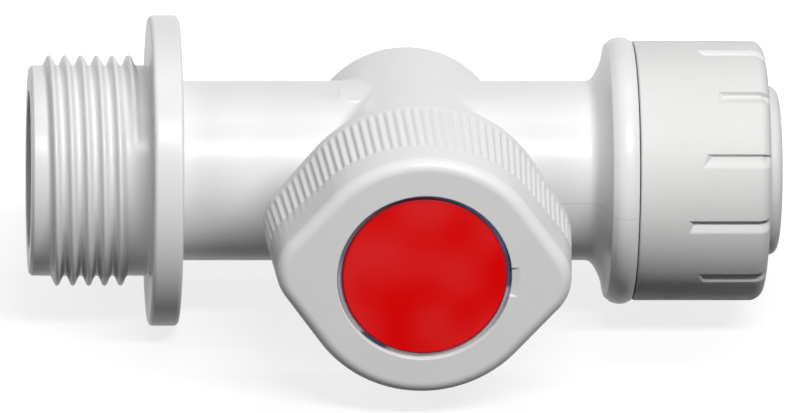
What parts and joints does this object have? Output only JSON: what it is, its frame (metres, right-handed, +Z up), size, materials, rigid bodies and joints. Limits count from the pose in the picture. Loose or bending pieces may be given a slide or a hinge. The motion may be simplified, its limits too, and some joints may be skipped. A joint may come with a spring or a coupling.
{
  "type": "appliance valve",
  "caption": "White plastic quarter-turn appliance valve with a push-fit pipe socket, a threaded hose outlet with a flange, and a ribbed knob with a red disc.",
  "frame": {"origin": "on the tube axis at the pipe stop, the inner end of the pipe socket", "axes": "+X out of the pipe socket, -Y out of the knob's face, +Z up"},
  "size_m": [0.0859, 0.0506, 0.0356],
  "materials": {
    "body_white": "glossy white moulding",
    "cap_white": "fine matte texture",
    "knob_white": "satin white",
    "collet_white": "glossy white",
    "disc_red": "satin red",
    "seal_rubber": "black rubber",
    "steel": "stainless",
    "seat_plastic": "low-friction plastic",
    "inner_plastic": "moulded"
  },
  "bodies": {
    "valve": {"valve_body": "body_white", "end_cap": "cap_white", "pipe_o_ring": "seal_rubber", "pipe_seal_washer": "inner_plastic", "inlet_seat": "seat_plastic", "outlet_seat": "seat_plastic", "inlet_seat_o_ring": "seal_rubber", "outlet_seat_o_ring": "seal_rubber", "inlet_seat_retainer": "inner_plastic", "outlet_seat_retainer": "inner_plastic", "bonnet": "inner_plastic", "bonnet_o_ring": "seal_rubber"},
    "knob": {"plug": "inner_plastic", "thrust_washer": "seat_plastic", "stem_o_ring_inner": "seal_rubber", "stem_o_ring_outer": "seal_rubber", "knob": "knob_white", "knob_screw": "steel", "indicator_disc": "disc_red"},
    "collet": {"collet": "collet_white", "collet_teeth": "steel"}
  },
  "joints": [
    {"name": "knob_turn", "type": "hinge", "parent": "valve", "child": "knob", "pos_m": [-0.014, 0, 0], "axis": [0, 1, 0], "range_deg": [-2.9, 87.1]},
    {"name": "collet_release", "type": "slide", "parent": "valve", "child": "collet", "axis": [-1, 0, 0], "range_m": [0, 0.0013]}
  ]
}
